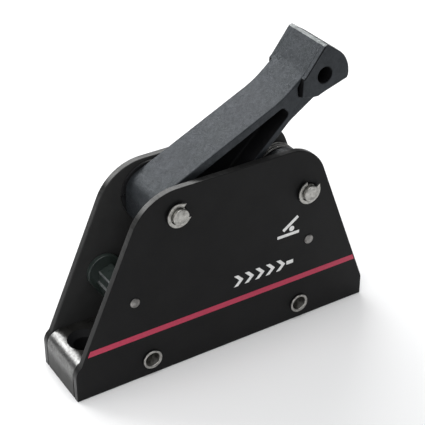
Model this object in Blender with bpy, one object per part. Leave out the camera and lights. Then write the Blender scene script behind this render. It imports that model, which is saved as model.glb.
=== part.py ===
"""Single rope clutch for a boat's deck: two side plates on a base bar, a lever handle, and a toothed cam.

The handle turns on the front pin. A link inside its root pushes the cam, which turns on the rear pin
and presses the rope against a toothed jaw plate on the base. Millimetres below, metres in the scene.
X runs along the rope from the handle's pivot end (-X) to the cam's end (+X), Z is up from the deck.
"""

import math

import bmesh
import bpy
from mathutils import Matrix, Vector

MM = 0.001
GAP = 0.3               # clearance left between pieces that touch

# Driving dimensions
LENGTH = 140.0          # base bar and side plates, along X
HEIGHT = 84.0           # side plates
WIDTH = 30.0            # over the side plates
PLATE = 3.0             # side plate thickness
BASE_HEIGHT = 17.0
END_RADIUS = 6.0        # rounding on the base bar's upper ends
HANDLE_PIVOT = (-22.9, 72.7)
CAM_PIVOT = (38.4, 63.3)
PIN_RADIUS = 3.5
PIN_PROUD = 3.0         # how far a pin stands out of a side plate
TUBE_X = 36.1           # cross tubes, either side of the middle
TUBE_Z = 7.7
TUBE_RADIUS = 3.6
TUBE_BORE = 3.05
BOLT_X = 58.6           # deck bolt holes, either side of the middle
BOLT_RADIUS = 4.6
BOLT_SINK = 2.4         # countersink at the top of each deck bolt hole, at 45 degrees
GUIDE_FRONT = (-42.9, 38.5)
GUIDE_REAR = (39.9, 39.3)
RIVET_RADIUS = 1.5
HANDLE_HALF = 10.5      # half the handle arm's width
HEAD_HALF = 12.25       # half the handle head's width
HEAD_HOLE = (46.2, 112.4)
HEAD_HOLE_RADIUS = 3.5
HEAD_BACK = (44.9, 111.1)    # centre of the head's round back
HEAD_BACK_RADIUS = 12.8
WEB_HALF = 1.5          # half the wall between the handle's two pockets
NOTCH_DEPTH = 3.5
LINK_TOP = (-10.4, 72.4)     # the link's pin in the handle
LINK_BOTTOM = (0.8, 48.2)    # the link's pin in the cam
LINK_PIN_RADIUS = 2.4
LINK_HALF = 3.0         # half the link's thickness
LINK_ROUND = 4.0        # radius of the link's ends
CAM_HALF = 9.0
BUSH_RADIUS = 4.5       # outside of the bushes on the pivot pins
PAD_CENTRE = (-20.4, 69.8)   # friction pads between the handle and the side plates
PAD_RADIUS = 13.1
CAM_HUB_RADIUS = 10.5
SPRING_WIRE = 0.7       # half the wire's thickness
SPRING_RADIUS = 9.8     # to the middle of the wire
SPRING_HOOK = (17.0, 60.0)   # where the spring's end enters the cam's arm

HALF = LENGTH / 2
OUTER = WIDTH / 2
INNER = OUTER - PLATE
JAW_TOP = BASE_HEIGHT + 3.0

COLOURS = {
    "black_anodised": ((0.030, 0.030, 0.032), 0.9, 0.38),
    "base_anodised": ((0.10, 0.10, 0.10), 0.9, 0.30),
    "slate_cast": ((0.085, 0.095, 0.105), 0.6, 0.50),
    "stainless": ((0.62, 0.60, 0.57), 1.0, 0.28),
    "dark_plastic": ((0.035, 0.040, 0.038), 0.0, 0.45),
    "hard_steel": ((0.30, 0.29, 0.28), 1.0, 0.35),
    "bronze": ((0.45, 0.28, 0.12), 1.0, 0.40),
}


def clear_scene():
    for obj in list(bpy.data.objects):
        bpy.data.objects.remove(obj, do_unlink=True)


def make_material(name):
    colour, metallic, roughness = COLOURS[name]
    material = bpy.data.materials.new(name)
    material.use_nodes = True
    shader = material.node_tree.nodes["Principled BSDF"]
    shader.inputs["Base Color"].default_value = (*colour, 1.0)
    shader.inputs["Metallic"].default_value = metallic
    shader.inputs["Roughness"].default_value = roughness
    return material


# ---------------------------------------------------------------- outlines in the XZ plane

def arc(centre, radius, start, end, steps):
    """Points on an arc, counter-clockwise from start to end degrees where end is larger."""
    points = []
    for i in range(steps + 1):
        angle = math.radians(start + (end - start) * i / steps)
        points.append((centre[0] + radius * math.cos(angle), centre[1] + radius * math.sin(angle)))
    return points


def circle(centre, radius, steps=32):
    return arc(centre, radius, 0, 360, steps)[:-1]


def rounded(corners, steps=5):
    """Polygon whose corners (x, z, radius) are rounded; a radius of 0 keeps the corner sharp."""
    points = []
    count = len(corners)
    for i, (x, z, radius) in enumerate(corners):
        here = Vector((x, z))
        if radius <= 0:
            points.append((x, z))
            continue
        before = (Vector(corners[i - 1][:2]) - here).normalized()
        after = (Vector(corners[(i + 1) % count][:2]) - here).normalized()
        half_angle = before.angle(after) / 2
        reach = radius / math.tan(half_angle)
        centre = here + (before + after).normalized() * (radius / math.sin(half_angle))
        first = here + before * reach - centre
        last = here + after * reach - centre
        turn = first.angle_signed(last)
        for k in range(steps + 1):
            swung = first.copy()
            swung.rotate(Matrix.Rotation(-turn * k / steps, 2))
            points.append(tuple(centre + swung))
    return points


def sharp(points):
    """Marks points as corners that stay sharp, for use in rounded."""
    return [(x, z, 0.0) for x, z in points]


def along(start, degrees, reach, side=0.0):
    """Point at reach along a direction from start, set off to its left by side."""
    angle = math.radians(degrees)
    return (
        start[0] + reach * math.cos(angle) - side * math.sin(angle),
        start[1] + reach * math.sin(angle) + side * math.cos(angle),
    )


def direction(start, end):
    return math.degrees(math.atan2(end[1] - start[1], end[0] - start[0]))


def capsule(first, second, radius_first, radius_second, steps=10):
    """Outline around two circles, with straight sides."""
    heading = direction(first, second)
    distance = math.dist(first, second)
    lean = math.degrees(math.acos((radius_first - radius_second) / distance))
    return arc(first, radius_first, heading + lean, heading + 360 - lean, steps) + arc(
        second, radius_second, heading - lean, heading + lean, steps
    )


# ---------------------------------------------------------------- solids

def finish_object(name, mesh_data, material, origin=(0.0, 0.0, 0.0), cutter=False):
    """Makes the object with its origin moved to a point in millimetres."""
    bmesh.ops.recalc_face_normals(mesh_data, faces=mesh_data.faces)
    bmesh.ops.scale(mesh_data, vec=(MM, MM, MM), verts=mesh_data.verts)
    offset = Vector(origin) * MM
    bmesh.ops.translate(mesh_data, vec=-offset, verts=mesh_data.verts)
    mesh = bpy.data.meshes.new(name)
    mesh_data.to_mesh(mesh)
    mesh_data.free()
    obj = bpy.data.objects.new(name, mesh)
    obj.location = offset
    bpy.context.scene.collection.objects.link(obj)
    if cutter:
        obj.hide_render = True
        obj.display_type = "WIRE"
        return obj
    mesh.materials.append(material)
    mesh.shade_smooth()
    mesh.set_sharp_from_angle(angle=math.radians(32))
    return obj


def prism(name, outline, low, high, material=None, origin=(0.0, 0.0, 0.0), cutter=False):
    """Outline in XZ, extruded along Y from low to high."""
    shape = bmesh.new()
    face = shape.faces.new([shape.verts.new((x, low, z)) for x, z in outline])
    swept = bmesh.ops.extrude_face_region(shape, geom=[face])
    moved = [item for item in swept["geom"] if isinstance(item, bmesh.types.BMVert)]
    bmesh.ops.translate(shape, vec=(0.0, high - low, 0.0), verts=moved)
    return finish_object(name, shape, material, origin, cutter)


def turned(name, profile, centre, material=None, upright=False, steps=32, cutter=False):
    """Closed profile of (radius, height) turned about Y, or about Z where upright.

    A profile that keeps off the axis gives a ring; centre is (x, y, z) in millimetres.
    """
    shape = bmesh.new()
    rings = []
    for k in range(steps):
        angle = 2 * math.pi * k / steps
        ring = []
        for radius, height in profile:
            across = radius * math.cos(angle)
            deep = radius * math.sin(angle)
            place = (across, deep, height) if upright else (across, height, deep)
            ring.append(shape.verts.new(Vector(place) + Vector(centre)))
        rings.append(ring)
    count = len(profile)
    for k in range(steps):
        this, following = rings[k], rings[(k + 1) % steps]
        for i in range(count):
            j = (i + 1) % count
            shape.faces.new((this[i], this[j], following[j], following[i]))
    bmesh.ops.remove_doubles(shape, verts=shape.verts, dist=1e-6)
    bmesh.ops.dissolve_degenerate(shape, edges=shape.edges, dist=1e-6)
    return finish_object(name, shape, material, centre, cutter)


def shaft_profile(radius, low, high, chamfer=0.4):
    """Half section of a solid round bar with chamfered ends; it touches the axis."""
    return [
        (0.0, low),
        (radius - chamfer, low),
        (radius, low + chamfer),
        (radius, high - chamfer),
        (radius - chamfer, high),
        (0.0, high),
    ]


def tube_profile(inner, outer, low, high):
    return [(inner, low), (outer, low), (outer, high), (inner, high)]


def boolean(obj, cutter, operation="DIFFERENCE"):
    modifier = obj.modifiers.new(f"{operation}_{cutter.name}".lower(), "BOOLEAN")
    modifier.operation = operation
    modifier.solver = "EXACT"
    modifier.object = cutter


def soften(obj, width, segments=2):
    modifier = obj.modifiers.new("edge_rounding", "BEVEL")
    modifier.width = width * MM
    modifier.segments = segments
    modifier.limit_method = "ANGLE"
    modifier.angle_limit = math.radians(40)


def drill(obj, name, centre, radius, low=-30.0, high=30.0, upright=False):
    """Cuts a round hole along Y at (x, z), or along Z at (x, y) where upright."""
    place = (centre[0], centre[1], 0.0) if upright else (centre[0], 0.0, centre[1])
    profile = [(0.0, low), (radius, low), (radius, high), (0.0, high)]
    boolean(obj, turned(name, profile, place, upright=upright, cutter=True))


# ---------------------------------------------------------------- frame of the clutch

def plate_outline():
    """Side plate: upright ends at the base bar, leaning sides, and large upper corners."""
    lean_front, foot_front = 0.45, -HALF - 4.6
    lean_rear, foot_rear = -0.38, HALF + 3.5
    neck = BASE_HEIGHT + 1.5
    shoulder = arc((-HALF + END_RADIUS, BASE_HEIGHT - END_RADIUS), END_RADIUS, 124, 180, 5)
    return rounded([
        (-HALF, 0.0, 0.0),
        (HALF, 0.0, 0.0),
        (HALF, (HALF - foot_rear) / lean_rear, 6.0),
        (foot_rear + lean_rear * HEIGHT, HEIGHT, 18.0),
        (foot_front + lean_front * HEIGHT, HEIGHT, 22.0),
        (foot_front + lean_front * neck, neck, 1.5),
        *sharp(shoulder),
    ], steps=8)


def make_side_plate(name, side, black):
    low, high = (-OUTER, -INNER) if side < 0 else (INNER, OUTER)
    plate = prism(name, plate_outline(), low, high, black)
    holes = [
        ("handle_pin", HANDLE_PIVOT, PIN_RADIUS),
        ("cam_pin", CAM_PIVOT, PIN_RADIUS),
        ("tube_front", (-TUBE_X, TUBE_Z), TUBE_RADIUS),
        ("tube_rear", (TUBE_X, TUBE_Z), TUBE_RADIUS),
        ("rivet_front", GUIDE_FRONT, RIVET_RADIUS),
        ("rivet_rear", GUIDE_REAR, RIVET_RADIUS),
    ]
    soften(plate, 0.4, 1)
    for hole, centre, radius in holes:
        drill(plate, f"{name}_{hole}_hole", centre, radius + GAP)
    return plate


def make_base_bar(material):
    top = BASE_HEIGHT
    outline = rounded([
        (-HALF, 0.0, 0.0),
        (HALF, 0.0, 0.0),
        (HALF, top, END_RADIUS),
        (-HALF, top, END_RADIUS),
    ], steps=8)
    bar = prism("base_bar", outline, -INNER + GAP, INNER - GAP, material)
    for side, end in ((-1, "front"), (1, "rear")):
        drill(bar, f"tube_hole_{end}", (side * TUBE_X, TUBE_Z), TUBE_RADIUS + GAP)
        profile = [
            (0.0, -5.0),
            (BOLT_RADIUS, -5.0),
            (BOLT_RADIUS, top - BOLT_SINK),
            (BOLT_RADIUS + BOLT_SINK + 1.0, top + 1.0),
            (0.0, top + 1.0),
        ]
        cutter = turned(f"bolt_hole_{end}", profile, (side * BOLT_X, 0.0, 0.0), upright=True, cutter=True)
        boolean(bar, cutter)
    return bar


def make_jaw(steel):
    """Toothed plate on the base bar, held by two countersunk screws."""
    low, high = -16.0, 38.0
    teeth_from, teeth_to, pitch = -6.0, 26.0, 3.2
    bottom = BASE_HEIGHT + GAP
    floor = JAW_TOP - 0.9
    outline = [(low, bottom), (high, bottom), (high, floor), (teeth_to, floor)]
    count = round((teeth_to - teeth_from) / pitch)
    for k in range(count):
        right = teeth_to - k * pitch
        outline += [(right - 0.35 * pitch, JAW_TOP), (right - 0.95 * pitch, floor)]
    outline += [(low, floor)]
    plate = prism("jaw_plate", outline, -8.5, 8.5, steel)
    for x, end in ((-11.0, "front"), (32.0, "rear")):
        seat = [
            (0.0, bottom - 1.0),
            (1.8, bottom - 1.0),
            (1.8, floor - 1.4),
            (3.6, floor + 0.4),
            (0.0, floor + 0.4),
        ]
        boolean(plate, turned(f"jaw_countersink_{end}", seat, (x, 0.0, 0.0), upright=True, cutter=True))
        screw = [
            (0.0, bottom + 0.2),
            (1.4, bottom + 0.2),
            (1.4, floor - 1.35),
            (2.75, floor - 0.1),
            (0.0, floor - 0.1),
        ]
        turned(f"jaw_screw_{end}", screw, (x, 0.0, 0.0), steel, upright=True, steps=24)


def make_cross_tube(end, side, steel):
    """Hollow tube through base and plates for a side bolt, with a flared lip at each end."""
    lip_in, lip_out = OUTER + GAP, OUTER + 1.0
    profile = [
        (TUBE_BORE, -lip_out),
        (TUBE_RADIUS + 0.4, -lip_out),
        (TUBE_RADIUS + 0.7, -lip_in - 0.2),
        (TUBE_RADIUS + 0.55, -lip_in),
        (TUBE_RADIUS, -lip_in),
        (TUBE_RADIUS, lip_in),
        (TUBE_RADIUS + 0.55, lip_in),
        (TUBE_RADIUS + 0.7, lip_in + 0.2),
        (TUBE_RADIUS + 0.4, lip_out),
        (TUBE_BORE, lip_out),
    ]
    turned(f"cross_tube_{end}", profile, (side * TUBE_X, 0.0, TUBE_Z), steel, steps=28)


def guide_outline(centre, radius, toe):
    """Round top that tapers to a blunt toe near the rope."""
    return capsule(centre, (centre[0] + toe[0], centre[1] + toe[1]), radius, 2.6, steps=12)


def guide_core_outline(centre, facing):
    """Faceted middle of a guide; facing is -1 where its flat face looks towards -X, and 1 towards +X."""
    corners = [
        (3.4, 1.3, 0.4),
        (-3.4, 3.4, 1.0),
        (-4.3, -4.0, 1.5),
        (-2.6, -11.2, 1.2),
        (1.8, -11.2, 1.2),
        (3.9, -3.5, 0.4),
    ]
    return rounded([(centre[0] + facing * x, centre[1] + z, radius) for x, z, radius in corners], steps=4)


def make_rope_guide(end, centre, facing, plastic, steel):
    """Cross-piece over the rope: a flange against each plate and a faceted core, held by a rivet."""
    reach = INNER - GAP
    toe = (-0.6 * facing, -10.6 if facing < 0 else -10.0)
    guide = prism(f"rope_guide_{end}", guide_outline(centre, 7.6, toe), -reach, reach, plastic)
    around = prism(f"guide_groove_{end}", circle(centre, 30.0), -reach + 2.2, reach - 2.2, cutter=True)
    core = prism(f"guide_core_{end}", guide_core_outline(centre, facing), -reach, reach, cutter=True)
    boolean(around, core)
    boolean(guide, around)
    drill(guide, f"guide_bore_{end}", centre, RIVET_RADIUS + GAP)
    head = RIVET_RADIUS + 0.6
    proud = OUTER + GAP + 0.6
    profile = [
        (0.0, -proud),
        (head - 0.5, -proud),
        (head, -OUTER - GAP),
        (RIVET_RADIUS, -OUTER - GAP),
        (RIVET_RADIUS, OUTER + GAP),
        (head, OUTER + GAP),
        (head - 0.5, proud),
        (0.0, proud),
    ]
    turned(f"guide_rivet_{end}", profile, (centre[0], 0.0, centre[1]), steel, steps=20)


# ---------------------------------------------------------------- pins and clips

def make_pivot_pin(name, centre, steel):
    """Pin with a groove near each end for a clip."""
    end = OUTER + PIN_PROUD
    groove_in, groove_out = OUTER + 0.5, OUTER + 1.8
    root, chamfer = PIN_RADIUS - 0.6, 0.4
    half = [
        (root, groove_in),
        (root, groove_out),
        (PIN_RADIUS, groove_out),
        (PIN_RADIUS, end - chamfer),
        (PIN_RADIUS - chamfer, end),
        (0.0, end),
    ]
    other_half = [(radius, -y) for radius, y in reversed(half)]
    profile = other_half + [(PIN_RADIUS, -groove_in), (PIN_RADIUS, groove_in)] + half
    turned(name, profile, (centre[0], 0.0, centre[1]), steel)


def clip_outline(centre, opening):
    """E-shaped retaining ring: open on one side, with three prongs towards the pin."""
    outer, inner, prong = 5.25, 3.75, PIN_RADIUS - 0.6 + GAP
    gap_half = 42.0
    points = arc(centre, outer, opening + gap_half, opening + 360 - gap_half, 20)
    stops = [(-gap_half, -gap_half - 16, prong), (-gap_half - 20, -106, inner), (-110, -133, prong)]
    stops += [(-137, -223, inner), (-227, -250, prong), (-254, gap_half - 340, inner)]
    stops += [(gap_half - 344, gap_half - 360, prong)]
    for start, end, radius in stops:
        points += arc(centre, radius, opening + start, opening + end, 4)
    return points


def make_clip(name, centre, side, opening, steel):
    low, high = OUTER + 0.7, OUTER + 1.5
    if side < 0:
        low, high = -high, -low
    prism(name, clip_outline(centre, opening), low, high, steel)


# ---------------------------------------------------------------- handle, link and cam

def handle_outline():
    """Root, arm and head of the handle: flat underside, round back, and a lip above the arm."""
    return rounded([
        (-31.9, 57.6, 8.0),
        (-12.0, 57.6, 12.0),
        (4.0, 68.5, 30.0),
        (31.5, 95.6, 20.0),
        (43.2, 103.4, 3.0),
        (46.6, 105.2, 6.0),
        (57.0, 108.5, 0.0),
        *sharp(arc(HEAD_BACK, HEAD_BACK_RADIUS, -9.0, 66.0, 7)),
        (46.7, 125.3, 0.0),
        (45.4, 125.1, 0.0),
        (37.2, 114.1, 18.0),
        (27.5, 105.9, 40.0),
        (-32.0, 77.6, 9.0),
    ], steps=8)


def head_outline():
    """Wider block at the handle's end, a hair inside the handle's own outline."""
    return [
        (36.1, 112.9),
        (35.8, 105.2),
        (40.0, 104.2),
        (43.2, 104.0),
        (46.6, 105.4),
        (56.9, 108.65),
        *arc(HEAD_BACK, HEAD_BACK_RADIUS - 0.1, -9.0, 66.0, 7),
        (46.6, 125.15),
        (45.6, 124.9),
        (37.35, 113.9),
    ]


def notch_outline():
    """Recess in the arm's side, just before the wider head."""
    return [(36.6, 112.4), (36.0, 112.3), (34.3, 109.1), (34.9, 105.2), (36.6, 104.7)]


def pocket_outline():
    """Open triangle between the arm and its lower brace."""
    return rounded([
        (-13.5, 82.3, 1.0),
        (0.0, 77.0, 3.0),
        (5.5, 73.7, 3.0),
        (30.9, 98.4, 1.2),
        (27.9, 102.4, 1.5),
    ], steps=5)


def slot_outline():
    """Space that the link needs inside the handle's root over the handle's whole swing."""
    rest = direction(LINK_TOP, LINK_BOTTOM)
    closed, opened = rest + 22.0, rest - 63.0
    side = LINK_ROUND + 0.4
    reach = 40.0
    return arc(LINK_TOP, side, closed + 90, opened + 270, 8) + [
        along(LINK_TOP, opened, reach, -side),
        along(LINK_TOP, (opened + closed) / 2, reach * 1.3),
        along(LINK_TOP, closed, reach, side),
    ]


def make_handle(cast):
    origin = (HANDLE_PIVOT[0], 0.0, HANDLE_PIVOT[1])
    handle = prism("handle", handle_outline(), -HANDLE_HALF, HANDLE_HALF, cast, origin)
    soften(handle, 0.6, 1)
    outside = HANDLE_HALF + 2.0
    for side, label in ((-1, "right"), (1, "left")):
        low, high = sorted((side * (HANDLE_HALF - NOTCH_DEPTH), side * outside))
        boolean(handle, prism(f"notch_{label}", notch_outline(), low, high, cutter=True))
        low, high = sorted((side * WEB_HALF, side * outside))
        boolean(handle, prism(f"pocket_{label}", pocket_outline(), low, high, cutter=True))
    head = prism("handle_head", head_outline(), -HEAD_HALF, HEAD_HALF, cutter=True)
    soften(head, 0.6, 1)
    boolean(handle, head, "UNION")
    slot = prism("link_slot", slot_outline(), -LINK_HALF - GAP, LINK_HALF + GAP, cutter=True)
    boolean(handle, slot)
    drill(handle, "handle_bore", HANDLE_PIVOT, BUSH_RADIUS + GAP)
    drill(handle, "link_top_bore", LINK_TOP, LINK_PIN_RADIUS + GAP)
    drill(handle, "head_hole", HEAD_HOLE, HEAD_HOLE_RADIUS)
    return handle


def make_bush(name, centre, reach, bronze):
    """Sleeve between a pivot pin and the piece that turns on it."""
    profile = tube_profile(PIN_RADIUS + GAP, BUSH_RADIUS, -reach, reach)
    turned(name, profile, (centre[0], 0.0, centre[1]), bronze, steps=24)


def make_washer(name, centre, radius, low, high, plastic):
    profile = tube_profile(PIN_RADIUS + GAP, radius, low, high)
    turned(name, profile, (centre[0], 0.0, centre[1]), plastic, steps=28)


def make_pad(name, low, high, plastic):
    """Round friction pad with the handle's pin through it, off its middle."""
    pad = prism(name, circle(PAD_CENTRE, PAD_RADIUS, 40), low, high, plastic)
    drill(pad, f"{name}_hole", HANDLE_PIVOT, PIN_RADIUS + GAP)


def make_link(steel):
    """Flat link with one round and one slotted end."""
    shape = capsule(LINK_TOP, LINK_BOTTOM, LINK_ROUND, LINK_ROUND)
    origin = (LINK_TOP[0], 0.0, LINK_TOP[1])
    link = prism("link", shape, -LINK_HALF, LINK_HALF, steel, origin)
    drill(link, "link_hole_top", LINK_TOP, LINK_PIN_RADIUS + GAP)
    drill(link, "link_hole_bottom", LINK_BOTTOM, LINK_PIN_RADIUS + GAP)
    for name, centre, reach in (
        ("link_pin_upper", LINK_TOP, HANDLE_HALF - 0.4),
        ("link_pin_lower", LINK_BOTTOM, CAM_HALF - 0.4),
    ):
        profile = shaft_profile(LINK_PIN_RADIUS, -reach, reach)
        turned(name, profile, (centre[0], 0.0, centre[1]), steel, steps=20)


def cam_outline():
    """Hub, arm and shoe seat of the cam."""
    return rounded(sharp(arc(CAM_PIVOT, CAM_HUB_RADIUS, -118, 120, 18)) + [
        (22.0, 65.5, 14.0),
        (-7.3, 54.6, 7.0),
        (-8.6, 34.2, 2.0),
        (24.0, 31.4, 2.0),
        (28.0, 50.0, 8.0),
    ], steps=4)


def shoe_outline():
    """Toothed shoe under the cam: its face lies level when the handle is closed."""
    front, rear = (-7.6, 28.5), (23.4, 25.6)
    heading = direction(front, rear)
    length = math.dist(front, rear)
    count = 10
    pitch = length / count
    points = [(24.3, 31.0), (-8.6, 33.8), (-8.6, 29.6)]
    for k in range(count):
        points.append(along(front, heading, (k + 0.35) * pitch))
        points.append(along(front, heading, (k + 0.95) * pitch, 1.0))
    return points


def make_cam(cast, steel, plastic, bronze):
    origin = (CAM_PIVOT[0], 0.0, CAM_PIVOT[1])
    cam = prism("cam", cam_outline(), -CAM_HALF, CAM_HALF, cast, origin)
    soften(cam, 0.5, 1)
    spring_seat = prism("spring_seat", circle(CAM_PIVOT, 14.0), 5.6, 20.0, cutter=True)
    hub_core = prism("spring_seat_core", circle(CAM_PIVOT, 8.4), 0.0, 30.0, cutter=True)
    boolean(spring_seat, hub_core)
    boolean(cam, spring_seat)
    link_space = [
        along(LINK_BOTTOM, -150, 8.6),
        along(LINK_BOTTOM, -95, 8.0),
        along(LINK_BOTTOM, -40, 8.0),
        (14.0, 54.0),
        (14.0, 75.0),
        (-30.0, 75.0),
        (-30.0, 48.0),
    ]
    boolean(cam, prism("cam_link_space", link_space, -LINK_HALF - GAP, LINK_HALF + GAP, cutter=True))
    slot_angle, slot_half, slot_radius = 22.0, 2.2, LINK_PIN_RADIUS + 0.75
    middle = along(LINK_BOTTOM, slot_angle, -1.45, 0.4)
    ends = along(middle, slot_angle, -slot_half), along(middle, slot_angle, slot_half)
    slot = capsule(*ends, slot_radius, slot_radius)
    boolean(cam, prism("cam_lost_motion_slot", slot, -20.0, 20.0, cutter=True))
    drill(cam, "spring_hook_hole", SPRING_HOOK, SPRING_WIRE + GAP, 6.5, 20.0)
    drill(cam, "cam_bore", CAM_PIVOT, BUSH_RADIUS + GAP)
    shoe = prism("cam_shoe", shoe_outline(), -8.4, 8.4, steel)
    for x, z, label in ((-3.4, 32.9, "front"), (19.0, 31.2, "rear")):
        tab = prism(f"shoe_tab_{label}", circle((x, z), 2.2, 16), -2.0, 2.0, cutter=True)
        boolean(shoe, tab, "UNION")
        boolean(cam, prism(f"shoe_tab_seat_{label}", circle((x, z), 2.2 + GAP, 16), -2.3, 2.3, cutter=True))
    make_bush("cam_bush", CAM_PIVOT, CAM_HALF, bronze)
    make_washer("cam_washer_right", CAM_PIVOT, 7.5, -INNER + GAP, -CAM_HALF - GAP, plastic)
    make_washer("cam_washer_left", CAM_PIVOT, 7.0, CAM_HALF + GAP, INNER - GAP, plastic)


def spring_path():
    """Leg on the rear guide, coils around the cam's hub, and a leg hooked into the cam's arm."""
    inner_y, outer_y, turns, per_turn = 6.7, 10.3, 2.25, 16
    centre_x, centre_z = CAM_PIVOT
    points = [(42.5, inner_y, 41.95), (45.6, inner_y, 51.0), (47.6, inner_y, 57.0)]
    steps = round(turns * per_turn)
    for k in range(steps + 1):
        angle = 2 * math.pi * turns * k / steps
        points.append((
            centre_x + SPRING_RADIUS * math.cos(angle),
            inner_y + (outer_y - inner_y) * k / steps,
            centre_z + SPRING_RADIUS * math.sin(angle),
        ))
    hook_x, hook_z = SPRING_HOOK
    points += [
        (31.0, outer_y, 71.4),
        (24.0, outer_y, 66.6),
        (hook_x + 0.8, outer_y, hook_z + 0.7),
        (hook_x, outer_y - 0.7, hook_z),
        (hook_x, 7.2, hook_z),
    ]
    return points


def make_spring(steel):
    """Torsion spring of round wire that presses the cam towards the rope."""
    points = spring_path()
    curve = bpy.data.curves.new("torsion_spring", "CURVE")
    curve.dimensions = "3D"
    curve.bevel_depth = SPRING_WIRE * MM
    curve.bevel_resolution = 1
    curve.use_fill_caps = True
    spline = curve.splines.new("POLY")
    spline.points.add(len(points) - 1)
    for point, place in zip(spline.points, points):
        point.co = (*(c * MM for c in place), 1.0)
    curve.materials.append(steel)
    bpy.context.scene.collection.objects.link(bpy.data.objects.new("torsion_spring", curve))


def main():
    clear_scene()
    materials = {name: make_material(name) for name in COLOURS}
    black = materials["black_anodised"]
    stainless = materials["stainless"]
    plastic = materials["dark_plastic"]
    hard_steel = materials["hard_steel"]
    bronze = materials["bronze"]
    make_side_plate("side_plate_right", -1, black)
    make_side_plate("side_plate_left", 1, black)
    make_base_bar(materials["base_anodised"])
    make_jaw(hard_steel)
    for end, side in (("front", -1), ("rear", 1)):
        make_cross_tube(end, side, stainless)
    make_rope_guide("front", GUIDE_FRONT, -1, plastic, stainless)
    make_rope_guide("rear", GUIDE_REAR, 1, plastic, stainless)
    for pin, centre, opening in (("handle_pin", HANDLE_PIVOT, 17.5), ("cam_pin", CAM_PIVOT, 67.5)):
        make_pivot_pin(pin, centre, stainless)
        make_clip(f"{pin}_clip_right", centre, -1, opening, stainless)
        make_clip(f"{pin}_clip_left", centre, 1, opening, stainless)
    make_handle(materials["slate_cast"])
    make_bush("handle_bush", HANDLE_PIVOT, HANDLE_HALF, bronze)
    for label, side in (("right", -1), ("left", 1)):
        low, high = sorted((side * (HANDLE_HALF + GAP), side * (INNER - GAP)))
        make_pad(f"handle_pad_{label}", low, high, plastic)
    make_link(hard_steel)
    make_cam(materials["slate_cast"], hard_steel, plastic, bronze)
    make_spring(stainless)


main()
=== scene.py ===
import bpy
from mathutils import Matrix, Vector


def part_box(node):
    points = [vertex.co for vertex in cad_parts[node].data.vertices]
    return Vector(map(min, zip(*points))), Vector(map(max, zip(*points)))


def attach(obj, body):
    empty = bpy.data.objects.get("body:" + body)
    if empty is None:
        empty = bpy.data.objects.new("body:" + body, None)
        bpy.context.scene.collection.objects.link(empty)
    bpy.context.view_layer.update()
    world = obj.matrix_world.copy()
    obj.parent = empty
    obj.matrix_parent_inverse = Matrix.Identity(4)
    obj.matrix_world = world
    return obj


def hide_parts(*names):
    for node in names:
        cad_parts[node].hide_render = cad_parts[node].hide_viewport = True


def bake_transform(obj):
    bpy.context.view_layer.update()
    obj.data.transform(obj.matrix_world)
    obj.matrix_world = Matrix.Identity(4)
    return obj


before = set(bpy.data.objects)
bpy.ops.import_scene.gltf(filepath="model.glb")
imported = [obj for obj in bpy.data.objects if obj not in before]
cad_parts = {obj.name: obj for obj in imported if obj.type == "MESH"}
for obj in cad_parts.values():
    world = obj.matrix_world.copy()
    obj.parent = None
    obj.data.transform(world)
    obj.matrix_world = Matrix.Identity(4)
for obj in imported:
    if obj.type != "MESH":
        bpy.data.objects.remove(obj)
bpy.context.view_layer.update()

# Looks of the single rope clutch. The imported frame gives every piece's place; this script gives
# each piece a finer mesh and a procedural material. Outlines are in millimetres in the XZ plane,
# meshes are in metres.

import math

import bmesh
import bpy
from mathutils import Matrix, Vector

MM = 0.001


# ---------------------------------------------------------------- places read from the frame

def node_box(node):
    """Lowest and highest corner of a CAD node, in millimetres."""
    low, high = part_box(node)
    return low / MM, high / MM


def node_centre(node):
    low, high = node_box(node)
    middle = (low + high) / 2
    return middle.x, middle.z


PLATE_LOW, PLATE_HIGH = node_box("side_plate_right")
OUTER = -PLATE_LOW.y                # half the width over the side plates
INNER = -PLATE_HIGH.y               # half the space between them
HALF = PLATE_HIGH.x                 # half the length
HEIGHT = PLATE_HIGH.z
BASE_HEIGHT = node_box("base_bar")[1].z
HANDLE_PIVOT = node_centre("handle_pin")
CAM_PIVOT = node_centre("cam_pin")
TUBES = {end: node_centre(f"cross_tube_{end}") for end in ("front", "rear")}
GUIDES = {end: node_centre(f"guide_rivet_{end}") for end in ("front", "rear")}
LINK_TOP = node_centre("link_pin_upper")
LINK_BOTTOM = node_centre("link_pin_lower")
PIN_RADIUS = (node_box("cam_pin")[1].x - node_box("cam_pin")[0].x) / 2
PIN_END = node_box("cam_pin")[1].y
PIN_ROOT = PIN_RADIUS - 0.6         # in the grooves that hold the clips
BOLT_X = 58.6                       # deck bolt holes, either side of the middle
BOLT_RADIUS = 4.6
BOLT_SINK = 2.4                     # countersink at the top of each deck bolt hole
TUBE_RADIUS = 3.6
RIVET_RADIUS = 1.5
BUSH_RADIUS = 4.5
GAP = 0.3                           # between neighbouring pieces
LEAN_FRONT, LEAN_REAR = 0.45, -0.38     # run of the plates' sides for each millimetre of rise
HANDLE_HALF = 10.5                  # half widths along Y
HEAD_HALF = 12.25
CAM_HALF = 9.0
LINK_HALF = 3.0
LINK_PIN_RADIUS = 2.4
HEAD_HOLE = (46.2, 112.4)
HEAD_BACK = (44.9, 111.1)           # centre of the head's round back
HEAD_BACK_RADIUS = 12.8
HEAD_BACK_SPAN = (-6.0, 64.0)       # degrees
SHOE_TABS = ((-3.4, 32.9), (19.0, 31.2))
SPRING_HOLE = (17.0, 60.0)          # the spring's end sits in it, in the cam's side
THROUGH = 30.0                      # past both sides of every piece


# ---------------------------------------------------------------- outlines

def arc(centre, radius, start, end, steps):
    """Points on an arc, counter-clockwise from start to end degrees where end is larger."""
    points = []
    for i in range(steps + 1):
        angle = math.radians(start + (end - start) * i / steps)
        points.append((centre[0] + radius * math.cos(angle), centre[1] + radius * math.sin(angle)))
    return points


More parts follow.
